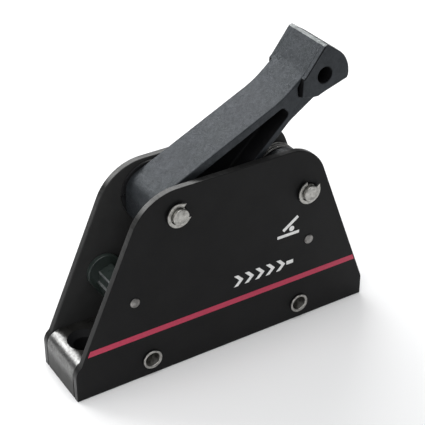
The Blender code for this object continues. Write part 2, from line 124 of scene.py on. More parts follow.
def circle(centre, radius, steps=64):
    return arc(centre, radius, 0, 360, steps)[:-1]


def rounded(corners, steps=10):
    """Polygon whose corners (x, z, radius) are rounded; a radius of 0 keeps the corner sharp."""
    points = []
    count = len(corners)
    for i, (x, z, radius) in enumerate(corners):
        here = Vector((x, z))
        if radius <= 0:
            points.append((x, z))
            continue
        before = (Vector(corners[i - 1][:2]) - here).normalized()
        after = (Vector(corners[(i + 1) % count][:2]) - here).normalized()
        half_angle = before.angle(after) / 2
        reach = radius / math.tan(half_angle)
        centre = here + (before + after).normalized() * (radius / math.sin(half_angle))
        first = here + before * reach - centre
        turn = first.angle_signed(here + after * reach - centre)
        for k in range(steps + 1):
            swung = first.copy()
            swung.rotate(Matrix.Rotation(-turn * k / steps, 2))
            points.append(tuple(centre + swung))
    return points


def sharp(points):
    return [(x, z, 0.0) for x, z in points]


def along(start, degrees, reach, side=0.0):
    angle = math.radians(degrees)
    return (
        start[0] + reach * math.cos(angle) - side * math.sin(angle),
        start[1] + reach * math.sin(angle) + side * math.cos(angle),
    )


def direction(start, end):
    return math.degrees(math.atan2(end[1] - start[1], end[0] - start[0]))


def capsule(first, second, radius_first, radius_second, steps=24):
    """Outline around two circles, with straight sides."""
    heading = direction(first, second)
    lean = math.degrees(math.acos((radius_first - radius_second) / math.dist(first, second)))
    return arc(first, radius_first, heading + lean, heading + 360 - lean, steps) + arc(
        second, radius_second, heading - lean, heading + lean, steps
    )


def inset(points, distance):
    """Outline moved inwards by distance, with mitred corners; the outline is counter-clockwise."""
    moved = []
    count = len(points)
    for i, (x, z) in enumerate(points):
        here = Vector((x, z))
        before = (here - Vector(points[i - 1])).normalized()
        after = (Vector(points[(i + 1) % count]) - here).normalized()
        normal_before = Vector((-before.y, before.x))
        normal_after = Vector((-after.y, after.x))
        middle = (normal_before + normal_after).normalized()
        stretch = max(middle.dot(normal_after), 0.45)
        moved.append(tuple(here + middle * (distance / stretch)))
    return moved


def cleaned(points):
    """Counter-clockwise outline without repeated points."""
    kept = [p for i, p in enumerate(points) if math.dist(p, points[i - 1]) > 1e-4]
    area = sum(kept[i - 1][0] * p[1] - p[0] * kept[i - 1][1] for i, p in enumerate(kept))
    return kept if area > 0 else kept[::-1]


# ---------------------------------------------------------------- meshes

def new_object(name, mesh_data, smooth_angle=32.0):
    bmesh.ops.recalc_face_normals(mesh_data, faces=mesh_data.faces)
    bmesh.ops.scale(mesh_data, vec=(MM, MM, MM), verts=mesh_data.verts)
    mesh = bpy.data.meshes.new(name)
    mesh_data.to_mesh(mesh)
    mesh_data.free()
    mesh.shade_smooth()
    mesh.set_sharp_from_angle(angle=math.radians(smooth_angle))
    obj = bpy.data.objects.new(name, mesh)
    bpy.context.scene.collection.objects.link(obj)
    return obj


def quarter(radius, segments):
    """Steps (inset, depth) of a rounded rim, from its face to its wall."""
    if radius <= 0:
        return [(0.0, 0.0)]
    turns = [math.pi / 2 * k / segments for k in range(segments + 1)]
    return [(radius * (1 - math.sin(turn)), radius * (1 - math.cos(turn))) for turn in turns]


def slab(name, outline, low, high, radius=0.0, segments=4):
    """Outline extruded along Y from low to high, with its two rims rounded by radius."""
    levels = quarter(radius, segments)
    rows = [(shift, low + depth) for shift, depth in levels]
    rows += [(shift, high - depth) for shift, depth in reversed(levels)]
    return stack(name, outline, rows)


def pit(outline, floor, mouth, fillet=0.8, lip=0.3):
    """Cutter for a blind recess from y = floor to y = mouth: filleted floor and softened mouth."""
    outwards = 1 if mouth > floor else -1
    rows = [(shift, floor + outwards * depth) for shift, depth in quarter(fillet, 5)]
    rows += [(-shift, mouth - outwards * depth) for shift, depth in (
        (0.0, lip), (lip * 0.3, lip * 0.3), (lip, 0.0), (lip, -2.0)
    )]
    return stack("cutter", outline, rows if outwards > 0 else rows[::-1])


def stack(name, outline, rows):
    """Closed body through copies of an outline; each row gives (inset, y)."""
    outline = cleaned(outline)
    shape = bmesh.new()
    rings = []
    for shift, y in rows:
        ring = inset(outline, shift) if shift else outline
        rings.append([shape.verts.new((x, y, z)) for x, z in ring])
    count = len(outline)
    for this, following in zip(rings, rings[1:]):
        for i in range(count):
            j = (i + 1) % count
            shape.faces.new((this[i], this[j], following[j], following[i]))
    shape.faces.new(rings[0][::-1])
    shape.faces.new(rings[-1])
    return new_object(name, shape)


def turned(name, profile, centre, upright=False, steps=72):
    """Closed profile of (radius, height) turned about Y at (x, z), or about Z at (x, y) where upright."""
    shape = bmesh.new()
    rings = []
    for k in range(steps):
        angle = 2 * math.pi * k / steps
        ring = []
        for radius, height in profile:
            across, deep = radius * math.cos(angle), radius * math.sin(angle)
            if upright:
                place = (centre[0] + across, centre[1] + deep, height)
            else:
                place = (centre[0] + across, height, centre[1] + deep)
            ring.append(shape.verts.new(place))
        rings.append(ring)
    count = len(profile)
    for k in range(steps):
        this, following = rings[k], rings[(k + 1) % steps]
        for i in range(count):
            j = (i + 1) % count
            shape.faces.new((this[i], this[j], following[j], following[i]))
    bmesh.ops.remove_doubles(shape, verts=shape.verts, dist=1e-4)
    bmesh.ops.dissolve_degenerate(shape, edges=shape.edges, dist=1e-4)
    return new_object(name, shape)


def tube_along(name, points, radius, sides=16, steps=6):
    """Round wire along a smooth curve through points (x, y, z), with flat ends."""
    path = []
    count = len(points)
    for i in range(count - 1):
        p = [Vector(points[min(max(i + k, 0), count - 1)]) for k in (-1, 0, 1, 2)]
        for k in range(steps):
            t = k / steps
            path.append(0.5 * (
                2 * p[1] + (p[2] - p[0]) * t
                + (2 * p[0] - 5 * p[1] + 4 * p[2] - p[3]) * t * t
                + (3 * p[1] - 3 * p[2] + p[3] - p[0]) * t ** 3
            ))
    path.append(Vector(points[-1]))
    shape = bmesh.new()
    rings = []
    side = Vector((1.0, 0.0, 0.0))
    for i, place in enumerate(path):
        ahead = path[min(i + 1, len(path) - 1)] - path[max(i - 1, 0)]
        ahead.normalize()
        side = (side - ahead * side.dot(ahead)).normalized()
        other = ahead.cross(side)
        ring = []
        for k in range(sides):
            angle = 2 * math.pi * k / sides
            ring.append(shape.verts.new(place + radius * (side * math.cos(angle) + other * math.sin(angle))))
        rings.append(ring)
    for this, following in zip(rings, rings[1:]):
        for k in range(sides):
            j = (k + 1) % sides
            shape.faces.new((this[k], this[j], following[j], following[k]))
    shape.faces.new(rings[0][::-1])
    shape.faces.new(rings[-1])
    return new_object(name, shape, 50.0)


def bake(obj):
    """Replaces obj's mesh with what its modifiers make of it."""
    graph = bpy.context.evaluated_depsgraph_get()
    mesh = bpy.data.meshes.new_from_object(obj.evaluated_get(graph))
    obj.modifiers.clear()
    obj.data = mesh


def combine(obj, tools, operation="DIFFERENCE"):
    """Cuts tools out of obj, or joins them to it, and removes them."""
    for tool in tools:
        modifier = obj.modifiers.new("combine", "BOOLEAN")
        modifier.operation = operation
        modifier.solver = "EXACT"
        modifier.object = tool
    bake(obj)
    for tool in tools:
        bpy.data.objects.remove(tool, do_unlink=True)
    return obj


def crisp(obj, smooth_angle=32.0):
    """Machined look: flat faces stay flat up to their rounded rims."""
    obj.data.shade_smooth()
    obj.data.set_sharp_from_angle(angle=math.radians(smooth_angle))
    modifier = obj.modifiers.new("normals", "WEIGHTED_NORMAL")
    modifier.keep_sharp = True
    modifier.weight = 60
    bake(obj)
    return obj


def cast(obj, voxel, passes):
    """Cast or moulded look: a fine even mesh whose inner and outer corners are all filleted."""
    remesh = obj.modifiers.new("remesh", "REMESH")
    remesh.mode = "VOXEL"
    remesh.voxel_size = voxel * MM
    remesh.use_smooth_shade = True
    smooth = obj.modifiers.new("fillets", "SMOOTH")
    smooth.factor = 0.5
    smooth.iterations = passes
    bake(obj)
    obj.data.shade_smooth()
    return obj


def hole(centre, radius, low=-THROUGH, high=THROUGH, mouths=(), mouth=0.3):
    """Cutter for a hole along Y; mouths lists the y of each face where its rim is chamfered."""
    profile = [(0.0, low), (radius, low)]
    for y in sorted(mouths):
        profile += [(radius, y - mouth), (radius + mouth, y), (radius, y + mouth)]
    profile += [(radius, high), (0.0, high)]
    return turned("cutter", profile, centre)


def paint(obj, materials, choose=None):
    """Gives obj its materials; choose(centre, normal) in millimetres picks the index for each face."""
    obj.data.materials.clear()
    for material in materials:
        obj.data.materials.append(material)
    if choose is None:
        for face in obj.data.polygons:
            face.material_index = 0
        return
    for face in obj.data.polygons:
        face.material_index = choose(face.center / MM, face.normal)


def stands_for(obj, node, body):
    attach(obj, body)
    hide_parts(node)


# ---------------------------------------------------------------- materials

class Nodes:
    """Builds one material's node tree; coordinates are the piece's own, in metres."""

    def __init__(self, name):
        self.material = bpy.data.materials.new(name)
        self.material.use_nodes = True
        self.tree = self.material.node_tree
        self.shader = self.tree.nodes["Principled BSDF"]
        self.coordinates = self.tree.nodes.new("ShaderNodeTexCoord").outputs["Object"]

    def add(self, kind, **settings):
        node = self.tree.nodes.new(kind)
        for key, value in settings.items():
            setattr(node, key, value)
        return node

    def link(self, source, target):
        self.tree.links.new(source, target)

    def stretched(self, scale):
        mapping = self.add("ShaderNodeMapping")
        mapping.inputs["Scale"].default_value = scale
        self.link(self.coordinates, mapping.inputs["Vector"])
        return mapping.outputs["Vector"]

    def noise(self, size, detail=3.0, roughness=0.55, stretch=None, distortion=0.0):
        """Noise whose blobs are about size millimetres across."""
        node = self.add("ShaderNodeTexNoise")
        node.inputs["Scale"].default_value = 1.0 / (size * MM)
        node.inputs["Detail"].default_value = detail
        node.inputs["Roughness"].default_value = roughness
        node.inputs["Distortion"].default_value = distortion
        source = self.stretched(stretch) if stretch else self.coordinates
        self.link(source, node.inputs["Vector"])
        return node.outputs["Fac"]

    def cells(self, size):
        node = self.add("ShaderNodeTexVoronoi")
        node.inputs["Scale"].default_value = 1.0 / (size * MM)
        self.link(self.coordinates, node.inputs["Vector"])
        return node.outputs["Distance"]

    def between(self, value, low, high, start=0.3, end=0.7):
        node = self.add("ShaderNodeMapRange")
        for socket, number in zip(("From Min", "From Max", "To Min", "To Max"), (start, end, low, high)):
            node.inputs[socket].default_value = number
        self.link(value, node.inputs["Value"])
        return node.outputs["Result"]

    def maths(self, operation, first, second=0.0):
        node = self.add("ShaderNodeMath", operation=operation)
        for socket, number in zip(node.inputs, (first, second)):
            if isinstance(number, bpy.types.NodeSocket):
                self.link(number, socket)
            else:
                socket.default_value = number
        return node.outputs[0]

    def mixed(self, value, first, second):
        node = self.add("ShaderNodeMix", data_type="RGBA")
        self.link(value, node.inputs["Factor"])
        for socket, colour in (("A", first), ("B", second)):
            target = [s for s in node.inputs if s.name == socket and s.type == "RGBA"][0]
            if isinstance(colour, bpy.types.NodeSocket):
                self.link(colour, target)
            else:
                target.default_value = (*colour, 1.0)
        return [s for s in node.outputs if s.type == "RGBA"][0]

    def bumps(self, layers):
        """Stacks bump layers of (height, strength, distance in millimetres)."""
        previous = None
        for height, strength, distance in layers:
            node = self.add("ShaderNodeBump")
            node.inputs["Strength"].default_value = strength
            node.inputs["Distance"].default_value = distance * MM
            self.link(height, node.inputs["Height"])
            if previous is not None:
                self.link(previous, node.inputs["Normal"])
            previous = node.outputs["Normal"]
        self.link(previous, self.shader.inputs["Normal"])

    def finish(self, colour, roughness, metallic, specular=0.5):
        self.link(colour, self.shader.inputs["Base Color"])
        self.link(roughness, self.shader.inputs["Roughness"])
        self.shader.inputs["Metallic"].default_value = metallic
        self.shader.inputs["Specular IOR Level"].default_value = specular
        return self.material


def anodised_face(name="anodised_face", dark=(0.0036, 0.0036, 0.0039), light=(0.0060, 0.0060, 0.0063)):
    """Bead-blasted black anodising on the plates' faces, with a faint cloudiness."""
    nodes = Nodes(name)
    cloud = nodes.between(nodes.noise(14.0, 4.0), 0.0, 1.0)
    blast = nodes.noise(0.35, 3.0, 0.7)
    scuffs = nodes.noise(2.2, 4.0, 0.6, (1.0, 1.0, 9.0))
    nodes.bumps([(blast, 0.22, 0.04)])
    return nodes.finish(nodes.mixed(cloud, dark, light), nodes.between(scuffs, 0.44, 0.56), 0.0, 0.14)


def anodised_edge():
    """Sawn and brushed plate edges, with a painted highlight: lighter and metallic around the upper front
    corner.
    """
    nodes = Nodes("anodised_edge")
    streaks = nodes.noise(1.1, 4.0, 0.6, (1.0, 0.12, 1.0))
    fine = nodes.between(streaks, 0.0, 1.0)
    dark = nodes.mixed(fine, (0.008, 0.008, 0.008), (0.014, 0.014, 0.014))
    bright = nodes.mixed(fine, (0.030, 0.030, 0.0295), (0.060, 0.060, 0.059))
    place = nodes.add("ShaderNodeSeparateXYZ")
    nodes.link(nodes.coordinates, place.inputs["Vector"])
    forwards = nodes.between(place.outputs["X"], 1.0, 0.0, -9.0 * MM, 6.0 * MM)
    upwards = nodes.between(place.outputs["Z"], 0.0, 1.0, 48.0 * MM, 74.0 * MM)
    # Painted highlight: the edges around the upper front corner are made lighter and metallic.
    painted_highlight_mask = nodes.maths("MULTIPLY", forwards, upwards)
    nodes.link(nodes.between(painted_highlight_mask, 0.0, 0.7, 0.0, 1.0), nodes.shader.inputs["Metallic"])
    grain = nodes.noise(0.3, 3.0, 0.7)
    nodes.bumps([(streaks, 0.25, 0.05), (grain, 0.2, 0.03)])
    return nodes.finish(nodes.mixed(painted_highlight_mask, dark, bright), nodes.between(streaks, 0.28, 0.40), 0.0, 0.2)


def base_satin():
    """Satin dark anodising of the base bar, with a painted highlight: bright and metallic along its rounded
    ends.
    """
    nodes = Nodes("base_satin")
    cloud = nodes.noise(4.5, 5.0, 0.65)
    mottle = nodes.noise(1.3, 4.0, 0.7)
    dark = nodes.mixed(nodes.between(cloud, 0.0, 1.0), (0.008, 0.0078, 0.0074), (0.024, 0.0235, 0.022))
    bright = nodes.mixed(nodes.between(mottle, 0.0, 1.0), (0.11, 0.11, 0.108), (0.24, 0.24, 0.236))
    place = nodes.add("ShaderNodeSeparateXYZ")
    nodes.link(nodes.coordinates, place.inputs["Vector"])
    reach = nodes.maths("ABSOLUTE", place.outputs["X"])
    ragged = nodes.between(cloud, -1.2 * MM, 1.2 * MM)
    outwards = nodes.between(nodes.maths("ADD", reach, ragged), 0.0, 1.0, 64.0 * MM, 66.0 * MM)
    upwards = nodes.between(nodes.maths("ADD", place.outputs["Z"], ragged), 0.0, 1.0, 7.0 * MM, 13.5 * MM)
    # Painted highlight: the rounded ends are made bright and metallic, while the rest stays dark.
    painted_highlight_mask = nodes.maths("MULTIPLY", outwards, upwards)
    colour = nodes.mixed(painted_highlight_mask, dark, bright)
    nodes.link(nodes.between(painted_highlight_mask, 0.0, 0.9, 0.0, 1.0), nodes.shader.inputs["Metallic"])
    lines = nodes.noise(0.7, 3.0, 0.6, (1.0, 0.15, 1.0))
    grain = nodes.noise(0.28, 3.0, 0.7)
    nodes.bumps([(mottle, 0.14, 0.12), (lines, 0.15, 0.04), (grain, 0.18, 0.03)])
    return nodes.finish(colour, nodes.between(cloud, 0.26, 0.38), 0.0, 0.1)


def slate_cast(name="slate_cast", dark=(0.022, 0.025, 0.029), light=(0.038, 0.042, 0.048)):
    """Die-cast alloy with a fine matt slate coating: mottled, with a small orange-peel grain."""
    nodes = Nodes(name)
    mottle = nodes.noise(3.2, 5.0, 0.68)
    broad = nodes.between(nodes.noise(22.0, 2.0), 0.0, 1.0)
    cool = nodes.mixed(broad, dark, (dark[0] * 1.05, dark[1] * 1.12, dark[2] * 1.02))
    colour = nodes.mixed(nodes.between(mottle, 0.0, 1.0), cool, light)
    speck = nodes.noise(0.6, 4.0, 0.75)
    peel = nodes.noise(1.0, 2.0, 0.5)
    nodes.bumps([(peel, 0.28, 0.08), (speck, 0.7, 0.08)])
    return nodes.finish(colour, nodes.between(nodes.noise(0.9, 3.0, 0.7), 0.32, 0.60), 0.5, 0.3)


def painted_shade_black():
    """Near-black painted shade for recesses: the handle's pockets, notch, seam groove and head hole, and the
    base bar's bolt holes.
    """
    nodes = Nodes("painted_shade_black")
    mottle = nodes.noise(1.6, 4.0, 0.6)
    colour = nodes.mixed(nodes.between(mottle, 0.0, 1.0), (0.0035, 0.0036, 0.0042), (0.0065, 0.0066, 0.0075))
    nodes.bumps([(nodes.noise(0.5, 3.0, 0.7), 0.4, 0.06)])
    return nodes.finish(colour, nodes.between(mottle, 0.62, 0.75), 0.0, 0.18)


def satin_stainless():
    """Tumbled stainless steel: pins, clips, tubes and jaw screws."""
    nodes = Nodes("satin_stainless")
    patch = nodes.noise(1.5, 3.0, 0.6)
    colour = nodes.mixed(nodes.between(patch, 0.0, 1.0), (0.22, 0.216, 0.203), (0.50, 0.49, 0.465))
    dents = nodes.cells(0.95)
    grain = nodes.noise(0.22, 3.0, 0.7)
    nodes.bumps([(dents, 0.34, 0.12), (grain, 0.3, 0.03)])
    return nodes.finish(colour, nodes.between(patch, 0.27, 0.42), 1.0)


def spring_steel():
    nodes = Nodes("spring_steel")
    patch = nodes.noise(2.0, 3.0)
    colour = nodes.mixed(nodes.between(patch, 0.0, 1.0), (0.15, 0.147, 0.142), (0.26, 0.255, 0.245))
    nodes.bumps([(nodes.noise(0.25, 2.0, 0.6), 0.08, 0.01)])
    return nodes.finish(colour, nodes.between(patch, 0.16, 0.26), 1.0)


def hard_steel():
    """Hardened, oil-black steel with bright rubbed spots."""
    nodes = Nodes("hard_steel")
    patch = nodes.noise(2.8, 5.0, 0.7)
    colour = nodes.mixed(nodes.between(patch, 0.0, 1.0, 0.4, 0.72), (0.14, 0.135, 0.13), (0.38, 0.37, 0.355))
    grain = nodes.noise(0.35, 3.0, 0.7)
    nodes.bumps([(grain, 0.3, 0.05)])
    return nodes.finish(colour, nodes.between(patch, 0.34, 0.5), 1.0)


def moulded_plastic(name="moulded_plastic", dark=(0.018, 0.025, 0.022), light=(0.030, 0.039, 0.036)):
    """Dark green-black glass-filled plastic with a soft mould texture."""
    nodes = Nodes(name)
    swirl = nodes.noise(5.0, 4.0, 0.6, distortion=0.8)
    colour = nodes.mixed(nodes.between(swirl, 0.0, 1.0), dark, light)
    texture = nodes.noise(0.5, 3.0, 0.65)
    nodes.bumps([(texture, 0.22, 0.04)])
    return nodes.finish(colour, nodes.between(swirl, 0.26, 0.38), 0.0, 0.6)


def sintered_bronze():
    nodes = Nodes("sintered_bronze")
    pores = nodes.cells(0.35)
    cloud = nodes.noise(1.8, 4.0, 0.65)
    colour = nodes.mixed(nodes.between(cloud, 0.0, 1.0), (0.33, 0.19, 0.075), (0.52, 0.33, 0.14))
    nodes.bumps([(pores, 0.3, 0.05)])
    return nodes.finish(colour, nodes.between(cloud, 0.38, 0.52), 1.0)


def print_ink(name, dark, light):
    """Screen-printed ink: nearly even, with the plate's grain showing through."""
    nodes = Nodes(name)
    film = nodes.noise(0.8, 4.0, 0.6)
    colour = nodes.mixed(nodes.between(film, 0.0, 1.0), dark, light)
    nodes.bumps([(nodes.noise(0.35, 3.0, 0.7), 0.2, 0.03)])
    return nodes.finish(colour, nodes.between(film, 0.42, 0.54), 0.0, 0.35)


def pale_floor():
    nodes = Nodes("pale_floor")
    cloud = nodes.noise(400.0, 2.0)
    colour = nodes.mixed(nodes.between(cloud, 0.0, 1.0), (0.93, 0.93, 0.93), (0.95, 0.95, 0.95))
    return nodes.finish(colour, nodes.between(cloud, 0.7, 0.8), 0.0, 0.2)


FACE, EDGE, BASE = anodised_face(), anodised_edge(), base_satin()
# Lighter copy of the face anodising for the plates' inner faces: painted light.
PAINTED_LIGHT_INSIDE = anodised_face("anodised_inside_painted_light", (0.030, 0.030, 0.030), (0.042, 0.042, 0.042))
SLATE, PAINTED_SHADE = slate_cast(), painted_shade_black()
# Light copy of the slate casting: a painted highlight for the guides' ridges and the top of the handle's
# lip.
PAINTED_HIGHLIGHT = slate_cast("painted_highlight_cast", (0.11, 0.116, 0.12), (0.24, 0.25, 0.25))
CAM_CAST = slate_cast("cam_cast", (0.020, 0.022, 0.024), (0.034, 0.037, 0.040))
STAINLESS, SPRING, HARD = satin_stainless(), spring_steel(), hard_steel()
PLASTIC, BRONZE = moulded_plastic(), sintered_bronze()
WASHER = moulded_plastic("washer_plastic", (0.010, 0.010, 0.011), (0.018, 0.018, 0.019))
RED_INK = print_ink("red_ink", (0.43, 0.029, 0.072), (0.51, 0.038, 0.092))
WHITE_INK = print_ink("white_ink", (0.74, 0.74, 0.73), (0.82, 0.82, 0.81))


# ---------------------------------------------------------------- side plates and their print

def plate_outline():
    """Upright ends at the base bar, leaning sides and large upper corners."""
    foot_front, foot_rear = -HALF - 4.6, HALF + 3.5
    neck, shoulder_radius = BASE_HEIGHT + 1.5, 6.0
    shoulder = arc((-HALF + shoulder_radius, BASE_HEIGHT - shoulder_radius), shoulder_radius, 124, 180, 10)
    return rounded([
        (-HALF, 0.0, 0.0),
        (HALF, 0.0, 0.0),
        (HALF, (HALF - foot_rear) / LEAN_REAR, 6.0),
        (foot_rear + LEAN_REAR * HEIGHT, HEIGHT, 18.0),
        (foot_front + LEAN_FRONT * HEIGHT, HEIGHT, 22.0),
        (foot_front + LEAN_FRONT * neck, neck, 1.5),
        *sharp(shoulder),
    ], steps=24)


def make_side_plate(label, side):
    low, high = sorted((side * INNER, side * OUTER))
    plate = slab(f"plate_{label}", plate_outline(), low, high, 0.35, 3)
    places = [
        (HANDLE_PIVOT, PIN_RADIUS),
        (CAM_PIVOT, PIN_RADIUS),
        *((place, TUBE_RADIUS) for place in TUBES.values()),
        *((place, RIVET_RADIUS) for place in GUIDES.values()),
    ]
    mouths = (side * OUTER,)
    combine(plate, [hole(place, radius + GAP, mouths=mouths, mouth=0.25) for place, radius in places])
    middle = (INNER + OUTER) / 2
    # The plates' inner faces take the lighter copy, which is painted light.
    paint(plate, [FACE, EDGE, PAINTED_LIGHT_INSIDE], lambda centre, normal: (
        1 if abs(normal.y) < 0.5 else 0 if abs(centre.y) > middle else 2
    ))
    crisp(plate)
    stands_for(plate, f"side_plate_{label}", "frame")


def print_on_plate(name, outlines, ink, side=-1, thick=0.05):
    """Flat printed shapes a hair proud of a plate's outer face, joined into one piece."""
    low, high = sorted((side * (OUTER + 0.005), side * (OUTER + thick)))
    parts = [slab(name, outline, low, high) for outline in outlines]
    shape = bmesh.new()
    for part in parts:
        shape.from_mesh(part.data)
        bpy.data.objects.remove(part, do_unlink=True)
    mesh = bpy.data.meshes.new(name)
    shape.to_mesh(mesh)
    shape.free()
    obj = bpy.data.objects.new(name, mesh)
    bpy.context.scene.collection.objects.link(obj)
    paint(obj, [ink])
    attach(obj, "frame")


def stripe_outline():
    """Band along the plate, whose ends follow the plate's leaning sides."""
    low, high = 20.1, 22.7
    front, rear = -64.4, 65.2
    rise = high - low
    return [(front, low), (rear, low), (rear + LEAN_REAR * rise, high), (front + LEAN_FRONT * rise, high)]


def chevron(x, z, width, height, weight):
    """Arrowhead stroke pointing along +X."""
    half = height / 2
    return [
        (x, z - half),
        (x + weight, z - half),
        (x + width, z),
        (x + weight, z + half),
        (x, z + half),
        (x + width - weight, z),
    ]


def make_print(side, label):
    print_on_plate(f"stripe_{label}", [stripe_outline()], RED_INK, side)
    first, step, line, count = 3.0, 5.2, 31.0, 5
    rope_direction = [chevron(first + k * step, line, 4.6, 5.4, 2.0) for k in range(count)]
    start, length, half_bar = first + count * step, 3.4, 0.9
    rope_direction.append([
        (start, line - half_bar),
        (start + length, line - half_bar),
        (start + length, line + half_bar),
        (start, line + half_bar),
    ])
    print_on_plate(f"rope_direction_{label}", rope_direction, WHITE_INK, side)
    middle, slope, tip, tail, half_stroke = (29.4, 49.5), 35, 5.6, -3.2, 0.75
    ends = (tip, half_stroke), (tail, half_stroke), (tail, -half_stroke), (tip, -half_stroke)
    lever = [along(middle, slope, reach, aside) for reach, aside in ends]
    left, right = middle[0] - 5.4, middle[0] + 5.4
    deck = [(left, 44.4), (right, 44.4), (right, 45.8), (left, 45.8)]
    rope = circle((middle[0] + 1.6, 47.6), 1.25, 32)
    print_on_plate(f"lever_symbol_{label}", [lever, deck, rope], WHITE_INK, side)


# ---------------------------------------------------------------- base, jaw and tubes

def make_base_bar():
    top, radius = BASE_HEIGHT, 6.0
    outline = rounded([(-HALF, 0.0, 0.0), (HALF, 0.0, 0.0), (HALF, top, radius), (-HALF, top, radius)], 20)
    bar = slab("base", outline, -INNER + GAP, INNER - GAP, 0.3, 3)
    tools = [hole(place, TUBE_RADIUS + GAP) for place in TUBES.values()]
    for side in (-1, 1):
        profile = [
            (0.0, -5.0),
            (BOLT_RADIUS, -5.0),
            (BOLT_RADIUS, top - BOLT_SINK - 0.3),
            (BOLT_RADIUS + 0.15, top - BOLT_SINK),
            (BOLT_RADIUS + BOLT_SINK, top - 0.15),
            (BOLT_RADIUS + BOLT_SINK + 0.1, top + 2.0),
            (0.0, top + 2.0),
        ]
        tools.append(turned("cutter", profile, (side * BOLT_X, 0.0), upright=True))
    combine(bar, tools)
    sunk = BOLT_RADIUS + BOLT_SINK + 0.12
    # The bolt holes' walls and countersinks take the painted shade.
    paint(bar, [BASE, PAINTED_SHADE], lambda centre, normal: int(
        math.hypot(abs(centre.x) - BOLT_X, centre.y) < sunk and 0.0 < centre.z < top - 0.1
        and abs(normal.z) < 0.8
    ))
    crisp(bar, 40.0)
    stands_for(bar, "base_bar", "frame")


def make_jaw():
    low, high = -16.0, 38.0
    teeth_from, teeth_to, pitch = -6.0, 26.0, 3.2
    bottom, top = node_box("jaw_plate")[0].z, node_box("jaw_plate")[1].z
    floor = top - 0.9
    outline = [(low, bottom), (high, bottom), (high, floor), (teeth_to, floor)]
    for k in range(round((teeth_to - teeth_from) / pitch)):
        right = teeth_to - k * pitch
        outline += [(right - 0.35 * pitch, top), (right - 0.42 * pitch, top), (right - 0.95 * pitch, floor)]
    outline += [(low, floor)]
    plate = slab("jaw", outline, -8.5, 8.5, 0.15, 2)
    tools = []
    for end in ("front", "rear"):
        x = node_centre(f"jaw_screw_{end}")[0]
        seat = [
            (0.0, bottom - 1.0),
            (1.8, bottom - 1.0),
            (1.8, floor - 1.4),
            (3.6, floor + 0.4),
            (0.0, floor + 0.4),
        ]
        tools.append(turned("cutter", seat, (x, 0.0), upright=True))
        make_jaw_screw(end, x, bottom, floor)
    combine(plate, tools)
    paint(plate, [HARD])
    crisp(plate)
    stands_for(plate, "jaw_plate", "frame")


def make_jaw_screw(end, x, bottom, floor):
    """Countersunk head with a hexagon socket."""
    profile = [
        (0.0, bottom + 0.2),
        (1.4, bottom + 0.2),
        (1.4, floor - 1.35),
        (2.6, floor - 0.25),
        (2.75, floor - 0.1),
        (0.0, floor - 0.1),
    ]
    screw = turned(f"jaw_screw_head_{end}", profile, (x, 0.0), upright=True)
    socket = turned("cutter", [(0.0, floor - 0.9), (1.15, floor - 0.9), (1.15, floor + 1), (0.0, floor + 1)],
                    (x, 0.0), upright=True, steps=6)
    combine(screw, [socket])
    paint(screw, [STAINLESS])
    crisp(screw)
    stands_for(screw, f"jaw_screw_{end}", "frame")


def make_cross_tube(end):
    """Stainless tube with rolled-over lips; faint ring marks from boring inside."""
    lip_in = OUTER + GAP
    lip_out = node_box(f"cross_tube_{end}")[1].y
    bore, outside = 3.05, TUBE_RADIUS
    lip = []
    roll = (lip_out - lip_in) / 2
    crown = outside + 0.7 - roll
    for k in range(9):
        turn = math.radians(-90 + 180 * k / 8)
        lip.append((crown + roll * math.cos(turn), lip_in + roll + roll * math.sin(turn)))
    inner_roll = 0.75
    for k in range(6):
        turn = math.pi / 2 * k / 5
        lip.append((bore + inner_roll * (1 - math.sin(turn)), lip_out - inner_roll * (1 - math.cos(turn))))
    outer_half = [(outside, lip_in)] + lip
    profile = [(r, -y) for r, y in reversed(outer_half)] + outer_half
    marks, pitch = 8, 0.9
    rings = []
    for k in range(marks):
        y = lip_out - 1.1 - k * pitch
        rings += [(bore, y), (bore + 0.12, y - pitch * 0.25), (bore, y - pitch * 0.5)]
    profile += rings + [(r, -y) for r, y in reversed(rings)]
    tube = turned(f"tube_{end}", profile, TUBES[end], steps=80)
    paint(tube, [STAINLESS])
    crisp(tube, 45.0)
    stands_for(tube, f"cross_tube_{end}", "frame")


# ---------------------------------------------------------------- guides, rivets, pins and clips

def guide_outline(centre, radius, toe):
    return capsule(centre, (centre[0] + toe[0], centre[1] + toe[1]), radius, 2.6)


def guide_core_outline(centre, facing):
    """Faceted middle of a guide: a shallow channel between two ridges looks towards -X or +X."""
    corners = [
        (3.4, 1.3, 0.8),
        (-3.4, 3.4, 1.0),
        (-4.3, -4.0, 1.5),
        (-2.6, -11.2, 1.2),
        (1.8, -11.2, 1.2),
        (3.9, -3.5, 0.6),
        (3.1, -2.95, 0.2),
        (2.9, 0.2, 0.3),
    ]
    return rounded([(centre[0] + facing * x, centre[1] + z, radius) for x, z, radius in corners], steps=8)


def make_rope_guide(end, facing):
    """Moulded cross-piece: a flange against each plate and a faceted core between them."""
    centre = GUIDES[end]
    reach, flange = INNER - GAP, 2.2
    toe = (-0.6 * facing, -10.6 if facing < 0 else -10.0)
    around = guide_outline(centre, 7.6, toe)
    guide = slab(f"guide_{end}", around, -reach, -reach + flange, 0.35, 3)
    combine(guide, [
        slab("flange", around, reach - flange, reach, 0.35, 3),
        slab("core", guide_core_outline(centre, facing), -reach + 1.0, reach - 1.0),
    ], "UNION")
    combine(guide, [hole(centre, RIVET_RADIUS + GAP)])
    ridges = (centre[0] + 3.4 * facing, centre[1] + 1.3), (centre[0] + 3.9 * facing, centre[1] - 3.5)

    def look(middle, normal):
        on_ridge = any(math.dist((middle.x, middle.z), ridge) < 0.8 for ridge in ridges)
        return int(on_ridge and abs(middle.y) < reach - flange)

    # Faces along the two ridges, between the flanges, take the painted highlight.
    paint(guide, [PLASTIC, PAINTED_HIGHLIGHT], look)
    crisp(guide)
    stands_for(guide, f"rope_guide_{end}", "frame")
    make_rivet(end, centre)


